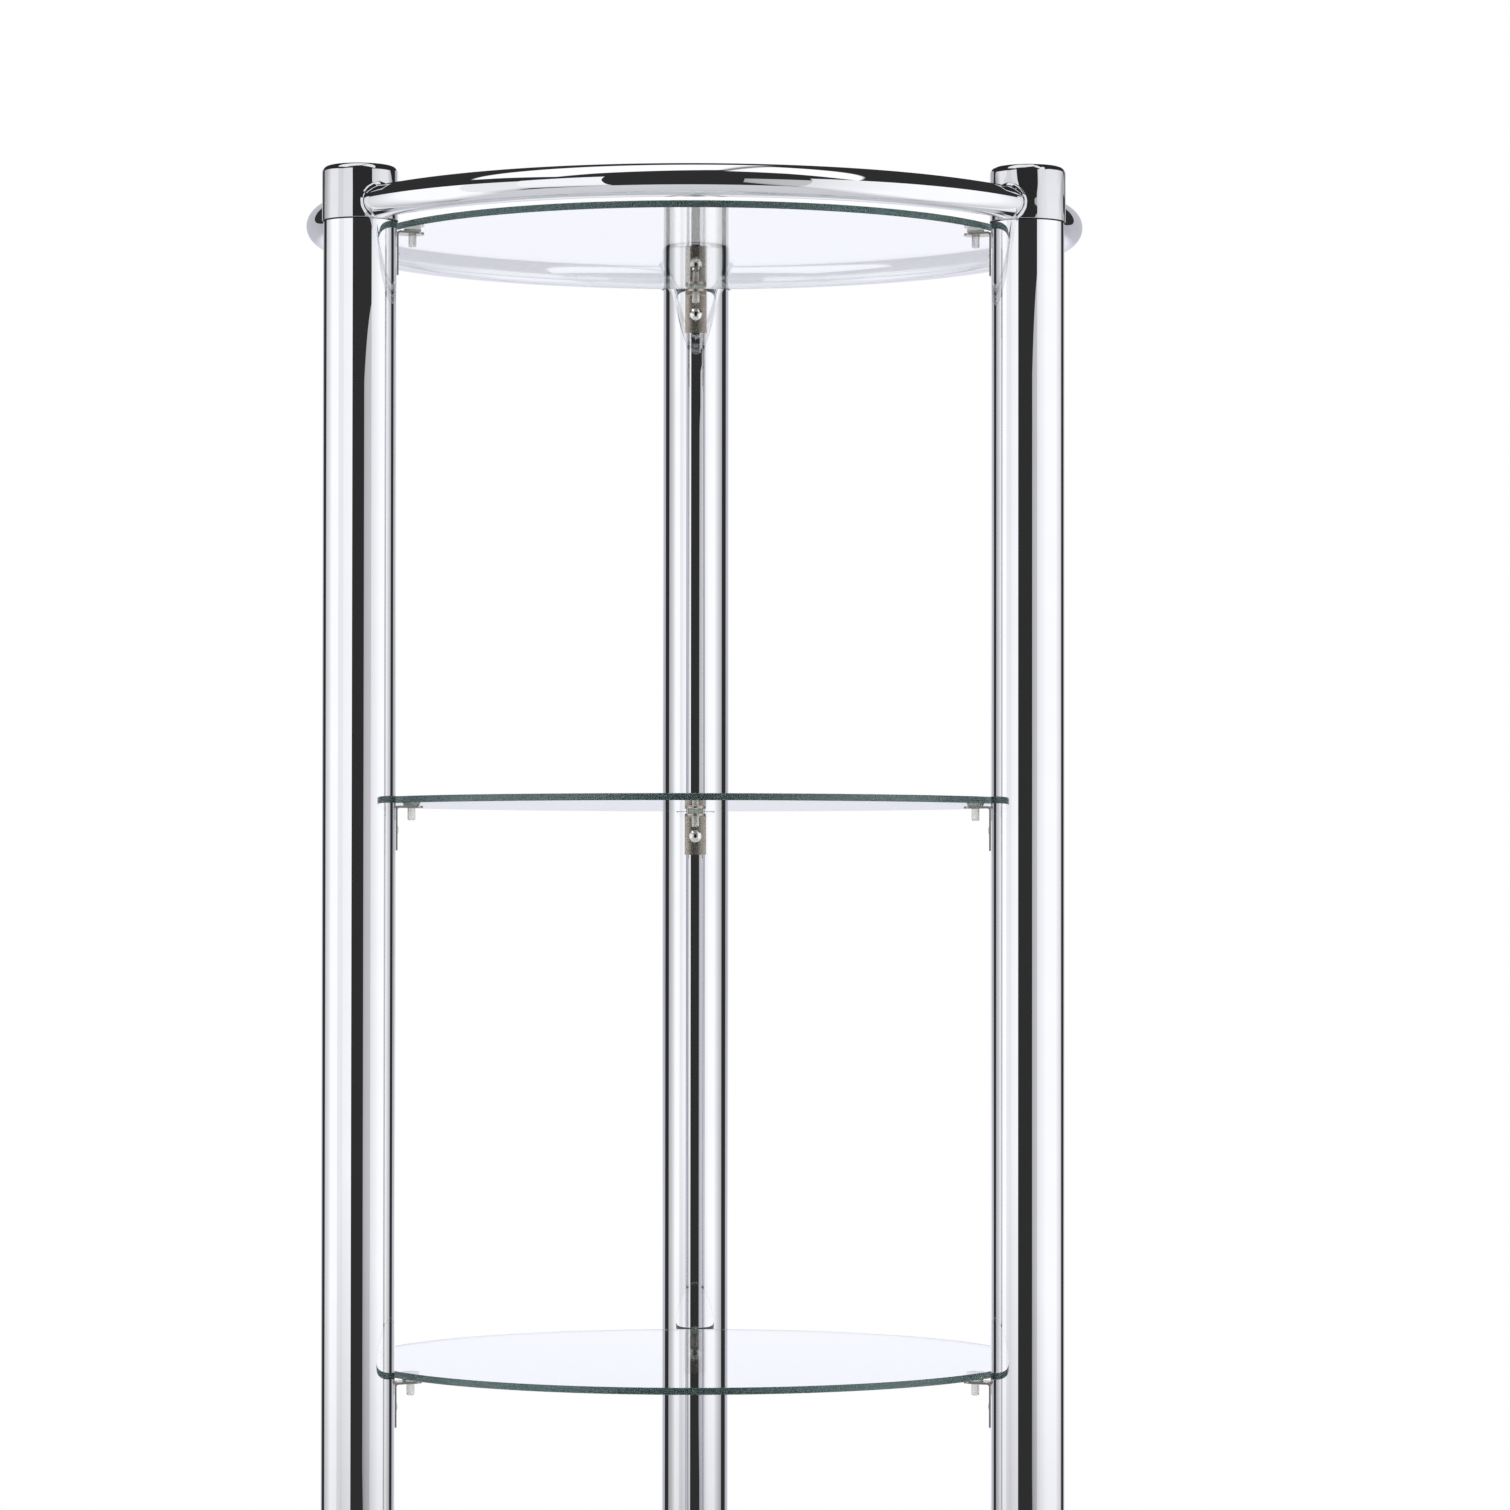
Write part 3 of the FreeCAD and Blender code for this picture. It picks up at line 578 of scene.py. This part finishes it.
def weld_section(fillet, turn, tube, hub_radius, hub_place, sense):
    """Return a closed section of a weld bead: a bulging arc from the hub cap to the tube, and its root."""
    hub_angle = math.atan2(hub_place.y, hub_place.x)
    ring = hub_place.length

    def meeting(tube_reach, hub_reach):
        """Return where both offset surfaces meet at this turn of the tube, and the tube's direction there."""
        radius = ring + tube_reach * math.cos(turn)
        away = math.acos((radius ** 2 + ring ** 2 - hub_reach ** 2) / (2 * radius * ring))
        angle = hub_angle + sense * away
        plan = Vector((math.cos(angle), math.sin(angle), 0))
        out = plan * math.cos(turn) + Vector((0, 0, math.sin(turn)))
        return plan * radius + Vector((0, 0, tube_reach * math.sin(turn))), out

    ball, tube_out = meeting(tube + fillet, hub_radius + fillet)
    hub_out = (Vector((ball.x, ball.y, 0)) - hub_place).normalized()
    between_them = hub_out.angle(tube_out)
    points = []
    for step in range(ROUND_STEPS + 1):
        share = step / ROUND_STEPS
        to_hub = math.sin((1 - share) * between_them) / math.sin(between_them)
        to_tube = math.sin(share * between_them) / math.sin(between_them)
        points.append(ball - fillet * (hub_out * to_hub + tube_out * to_tube))
    ends = points[0] + points[-1]
    points = [ends - point for point in reversed(points)]
    points.append(meeting(tube - WELD_SINK, hub_radius - WELD_SINK)[0])
    return points


def make_welds(level):
    """Rounded weld beads where the ring tubes meet the hub caps of one level."""
    low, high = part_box(f"front_{level}_ring_arc")
    lift = Vector((0, 0, (low.z + high.z) / 2))
    tube = (high.z - low.z) / 2
    hub_low, hub_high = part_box(f"rear_{level}_hub")
    hub_radius = half_width(f"rear_{level}_hub")
    rim_gap = lift.z - hub_low.z if level == "top" else hub_high.z - lift.z
    rim_side = -1 if level == "top" else 1
    build = bmesh.new()
    for start, end in ARC_ENDS:
        for corner, sense in ((start, 1), (end, -1)):
            hub_place = Vector((*axis_of(f"{corner}_{level}_hub"), 0))
            rows = []
            for turn in LATHE_ANGLES:
                fillet = WELD_RADIUS + WELD_RIPPLE * math.sin(WELD_RIPPLES * turn)
                toward_rim = rim_side * math.sin(turn)
                if toward_rim > 0:
                    fillet = min(fillet, (rim_gap - WELD_MARGIN) / toward_rim - tube)
                section = weld_section(fillet, turn, tube, hub_radius, hub_place, sense)
                rows.append([build.verts.new(point + lift) for point in section])
            for row, following in zip(rows, rows[1:] + rows[:1]):
                for place in range(len(row)):
                    beside = (place + 1) % len(row)
                    build.faces.new((row[place], row[beside], following[beside], following[place]))
    add_piece(mesh_from(build, f"{level}_ring_welds"), ("hub_chrome",), "frame", [])


def screw_blank():
    """Make one pan-head screw along +Z, head up, without its recess."""
    rise = SCREW_HEAD_HEIGHT - SCREW_HEAD_RIM
    dome = (SCREW_HEAD_RADIUS ** 2 + rise ** 2) / (2 * rise)
    sweep = math.degrees(math.asin(SCREW_HEAD_RADIUS / dome))
    top = SCREW_LENGTH + SCREW_HEAD_HEIGHT
    profile = [(0, 0), (SCREW_RADIUS, 0), (SCREW_RADIUS, SCREW_LENGTH), (SCREW_HEAD_RADIUS, SCREW_LENGTH)]
    profile += quarter_round(0, top - dome, dome, 90 - sweep, 90)[:-1] + [(0, top)]
    build = bmesh.new()
    turn_profile(build, profile, (0, 0))
    return mesh_from(build, "screw_blank")


def screw_cross():
    """Make the tapered cross that cuts the recess of a screw's head."""
    top = SCREW_LENGTH + SCREW_HEAD_HEIGHT
    arm = (
        (RECESS_REACH, -RECESS_HALF_WIDTH),
        (RECESS_REACH, RECESS_HALF_WIDTH),
        (RECESS_HALF_WIDTH, RECESS_HALF_WIDTH),
    )
    plus = []
    for quarter in range(4):
        turn = Matrix.Rotation(quarter * math.pi / 2, 2)
        plus += [turn @ Vector(corner) for corner in arm]
    build = bmesh.new()
    lower = [build.verts.new((*(corner * RECESS_TAPER), top - RECESS_DEPTH)) for corner in plus]
    upper = [build.verts.new((*corner, top + RECESS_DEPTH)) for corner in plus]
    build.faces.new(lower[::-1])
    build.faces.new(upper)
    for place in range(len(plus)):
        beside = (place + 1) % len(plus)
        build.faces.new((lower[place], lower[beside], upper[beside], upper[place]))
    return mesh_from(build, "screw_cross")


def screw_mesh():
    """Make one screw, with its cross recess cut from its dome and painted dark as shade."""
    blank = screw_blank()
    cross = screw_cross()
    for part in (blank, cross):
        part.materials.append(finishes["bright_screw"])
        part.materials.append(finishes["joint_and_recess_shade"])
    # The recess walls take the dark finish, a painted shade
    cross.polygons.foreach_set("material_index", [1] * len(cross.polygons))
    whole = bpy.data.objects.new(blank.name, blank)
    tool = bpy.data.objects.new(cross.name, cross)
    for item in (whole, tool):
        bpy.context.scene.collection.objects.link(item)
    cut = whole.modifiers.new("recess", "BOOLEAN")
    cut.object = tool
    cut.operation = "DIFFERENCE"
    cut.solver = "EXACT"
    shaped = whole.evaluated_get(bpy.context.evaluated_depsgraph_get())
    mesh = bpy.data.meshes.new_from_object(shaped)
    for item in (whole, tool):
        bpy.data.objects.remove(item)
    return mesh


def make_screws(shelf, screw):
    """Three bracket screws of one shelf, heads towards the tower's axis."""
    replaced = shelf + "_bracket_screws"
    low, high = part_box(replaced)
    build = bmesh.new()
    for corner in CORNERS:
        axis = Vector((*axis_of(corner + "_post"), 0))
        inward = -axis.normalized()
        tail = axis.length - POST_RADIUS - BRACKET_THICKNESS + SCREW_LENGTH
        place = Vector((0, 0, (low.z + high.z) / 2)) - inward * tail
        turn = inward.to_track_quat("Z", "Y").to_matrix().to_4x4()
        copy = screw.copy()
        copy.transform(Matrix.Translation(place) @ turn)
        build.from_mesh(copy)
        bpy.data.meshes.remove(copy)
    bmesh.ops.remove_doubles(build, verts=build.verts, dist=SAME_POINT)
    mesh = mesh_from(build, shelf + "_screw_set")
    body = nodes[replaced]["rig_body"]
    add_piece(mesh, ("bright_screw", "joint_and_recess_shade"), body, [replaced])


def make_pad(corner):
    """Moulded foot pad with soft edges and a lipped socket for the stud's swivel disc."""
    replaced = corner + "_foot_pad"
    low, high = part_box(replaced)
    radius = half_width(replaced)
    height = high.z - low.z
    lip = height - PAD_LIP
    neck = STUD_RADIUS + SWIVEL_CLEARANCE
    socket = SWIVEL_RADIUS + SWIVEL_CLEARANCE
    floor = PAD_FLOOR - PAD_FLOOR_GAP
    outside = [(0, 0), (radius, 0), (radius, PAD_RIM), (PAD_CROWN_RADIUS, height), (neck, height)]
    profile = softened(outside, PAD_EDGE) + [(neck, lip), (socket, lip), (socket, floor), (0, floor)]
    build = bmesh.new()
    turn_profile(build, [(across, low.z + up) for across, up in profile], axis_of(replaced))
    mesh = mesh_from(build, corner + "_moulded_pad")
    add_piece(mesh, ("black_plastic",), nodes[replaced]["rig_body"], [replaced])


def thread_rows(low, high):
    """Return the rows of a right-hand thread between two heights, run out below and pointed above."""
    rows = []
    count = round((high - low) / THREAD_PITCH * THREAD_ROWS)
    for row in range(count + 1):
        height = low + (high - low) * row / count
        deepest = min(THREAD_DEPTH, (height - low) / 2)
        tip = STUD_RADIUS - THREAD_DEPTH + high - height
        reaches = []
        for angle in LATHE_ANGLES:
            groove = abs(2 * ((height / THREAD_PITCH - angle / (2 * math.pi)) % 1) - 1)
            reaches.append(min(STUD_RADIUS - deepest * groove, tip))
        rows.append((reaches, height))
    return rows


def collar_rows():
    """Return the rows of the hexagon collar, whose corners are chamfered above and below."""
    rows = []
    sixth = math.pi / 3
    flat = COLLAR_ACROSS_FLATS / 2
    hexagon = [flat / math.cos((angle + sixth / 2) % sixth - sixth / 2) for angle in LATHE_ANGLES]
    for row in range(COLLAR_ROWS + 1):
        up = COLLAR_HEIGHT * row / COLLAR_ROWS
        chamfer = flat * COLLAR_FACE + min(up, COLLAR_HEIGHT - up) / math.tan(COLLAR_CHAMFER)
        rows.append(([min(reach, chamfer) for reach in hexagon], COLLAR_BASE + up))
    return rows


def make_stud(corner):
    """Foot stud: a swivel disc, a neck, a hexagon collar and a threaded shank."""
    replaced = corner + "_foot_stud"
    low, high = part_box(replaced)
    length = high.z - low.z
    shank = COLLAR_BASE + COLLAR_HEIGHT
    profile = [(0, 0), (SWIVEL_RADIUS, 0), (SWIVEL_RADIUS, SWIVEL_HEIGHT)]
    profile += [(STUD_RADIUS, SWIVEL_HEIGHT), (STUD_RADIUS, COLLAR_BASE)]
    profile += collar_rows() + [(STUD_RADIUS, shank)]
    profile += thread_rows(shank, length)[1:] + [(0, length)]
    build = bmesh.new()
    turn_profile(build, [(across, low.z + up) for across, up in profile], axis_of(replaced))
    mesh = mesh_from(build, corner + "_threaded_stud")
    add_piece(mesh, ("zinc_steel",), nodes[replaced]["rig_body"], [replaced])


def make_floor():
    """Pale round floor that fades into the white background and keeps the tower's shadow."""
    mesh = bpy.data.meshes.new("floor")
    build = bmesh.new()
    bmesh.ops.create_circle(build, cap_ends=True, segments=FLOOR_SEGMENTS, radius=FLOOR_RADIUS)
    build.to_mesh(mesh)
    build.free()
    floor = bpy.data.objects.new("floor", mesh)
    bpy.context.scene.collection.objects.link(floor)
    material, tree, output = fresh_material("pale_floor")
    place = node(tree, "TexCoord").outputs["Object"]
    away = node(tree, "VectorMath", {0: place}, operation="LENGTH").outputs["Value"]
    edge = between(tree, away, FLOOR_FADE, FLOOR_RADIUS, 0, 1)
    unlit = between(tree, away, *FLOOR_LIT, 0, 1)
    path, through = light_path(tree)
    seen = math_node(tree, "MAXIMUM", path.outputs["Is Camera Ray"], through)
    reflected = math_node(tree, "SUBTRACT", path.outputs["Is Glossy Ray"], through)
    by_mirror = math_node(tree, "MAXIMUM", reflected, 0.0)
    white = shining(tree, "Emission", WHITE, 1.0)
    dark = shining(tree, "Emission", NEUTRAL, DARK)
    matte = node(tree, "BsdfDiffuse", {"Color": FLOOR_COLOUR}).outputs["BSDF"]
    mirrored = mix_shaders(tree, math_node(tree, "MULTIPLY", unlit, by_mirror), matte, dark)
    surface = mix_shaders(tree, math_node(tree, "MULTIPLY", edge, seen), mirrored, white)
    tree.links.new(surface, output.inputs["Surface"])
    mesh.materials.append(material)


def make_card(name, begin, end, tops, tint, along, up):
    """Add an upright glowing card on the floor, which only reflections in metal and glass see."""
    begin = Vector((*begin, 0))
    run = Vector((*end, 0)) - begin
    corners = [(0, 0, 0), (run.length, 0, 0), (run.length, 0, tops[1]), (0, 0, tops[0])]
    mesh = bpy.data.meshes.new(name)
    mesh.from_pydata(corners, [], [(0, 1, 2, 3)])
    card = bpy.data.objects.new(name, mesh)
    card.location = begin
    card.rotation_euler.z = math.atan2(run.y, run.x)
    card.visible_camera = False
    card.visible_diffuse = False
    card.visible_shadow = False
    bpy.context.scene.collection.objects.link(card)
    material, tree, output = fresh_material(name + "_glow")
    x, _, z = own_axes(tree)
    along_level = ramp(tree, math_node(tree, "DIVIDE", x, run.length), along)
    up_level = ramp(tree, math_node(tree, "DIVIDE", z, max(tops)), up)
    level = math_node(tree, "MULTIPLY", along_level, up_level)
    glow = shining(tree, "Emission", tint, level)
    hidden = node(tree, "BsdfTransparent").outputs["BSDF"]
    surface = mix_shaders(tree, light_path(tree)[1], glow, hidden)
    tree.links.new(surface, output.inputs["Surface"])
    mesh.materials.append(material)


def make_world():
    """White background, a soft even light, and for mirrors a dark studio with two soft boxes overhead."""
    world = bpy.data.worlds.new("studio")
    world.use_nodes = True
    tree = world.node_tree
    tree.nodes.clear()
    output = node(tree, "OutputWorld")
    parts = node(tree, "SeparateXYZ", {"Vector": node(tree, "TexCoord").outputs["Generated"]})
    east, north, up = parts.outputs
    height = math_node(tree, "MAXIMUM", up, LOWEST_RISE)
    across = math_node(tree, "DIVIDE", east, height)
    along = math_node(tree, "DIVIDE", north, height)
    level = DARK
    for edges in SOFT_BOXES.values():
        box = SOFT_BOX_GLOW
        for a, b, c in edges:
            from_across = math_node(tree, "MULTIPLY", across, a)
            from_along = math_node(tree, "MULTIPLY", along, b)
            past = math_node(tree, "ADD", math_node(tree, "ADD", from_across, from_along), c)
            within = between(tree, past, -SOFT_BOX_BLUR, SOFT_BOX_BLUR, 0.0, 1.0)
            box = math_node(tree, "MULTIPLY", within, box)
        level = math_node(tree, "ADD", box, level)
    path, through = light_path(tree)
    seen = math_node(tree, "MAXIMUM", path.outputs["Is Camera Ray"], through)
    even = shining(tree, "Background", EVEN_LIGHT_COLOUR, EVEN_LIGHT)
    studio = shining(tree, "Background", NEUTRAL, level)
    white = shining(tree, "Background", WHITE, 1.0)
    lit = mix_shaders(tree, path.outputs["Is Glossy Ray"], even, studio)
    tree.links.new(mix_shaders(tree, seen, lit, white), output.inputs["Surface"])
    bpy.context.scene.world = world


def make_lamp():
    """One large soft lamp overhead, which gives the floor its shadow."""
    data = bpy.data.lights.new("overhead", "AREA")
    data.shape = "SQUARE"
    data.size = LAMP_SIZE
    data.energy = LAMP_POWER
    lamp = bpy.data.objects.new("overhead", data)
    lamp.location = LAMP_PLACE
    lamp.rotation_euler = LAMP_TILT
    lamp.visible_glossy = False
    bpy.context.scene.collection.objects.link(lamp)


def make_camera():
    """Camera at the photograph's place."""
    data = bpy.data.cameras.new("camera")
    data.sensor_width = SENSOR
    data.lens = LENS
    data.shift_y = CAMERA_SHIFT
    camera = bpy.data.objects.new("camera", data)
    camera.location = CAMERA_PLACE
    camera.rotation_euler = (math.pi / 2 + CAMERA_PITCH, CAMERA_ROLL, -CAMERA_YAW)
    bpy.context.scene.collection.objects.link(camera)
    bpy.context.scene.camera = camera


finishes = make_finishes()
dress_nodes()
for hub_level in LEVELS:
    for hub_corner in CORNERS:
        make_hub(hub_corner, hub_level)
    make_welds(hub_level)
for foot_corner in CORNERS:
    make_stud(foot_corner)
    make_pad(foot_corner)
one_screw = screw_mesh()
for screw_shelf in SHELVES:
    make_screws(screw_shelf, one_screw)
make_floor()
for card_name, card in CARDS.items():
    make_card(card_name, **card)
make_world()
make_lamp()
make_camera()
bpy.context.scene.view_settings.view_transform = "Standard"
# Light that enters a shelf at its edge crosses it in many small bounces
bpy.context.scene.cycles.max_bounces = LIGHT_BOUNCES
bpy.context.scene.cycles.glossy_bounces = LIGHT_BOUNCES
bpy.context.scene.cycles.transmission_bounces = LIGHT_BOUNCES
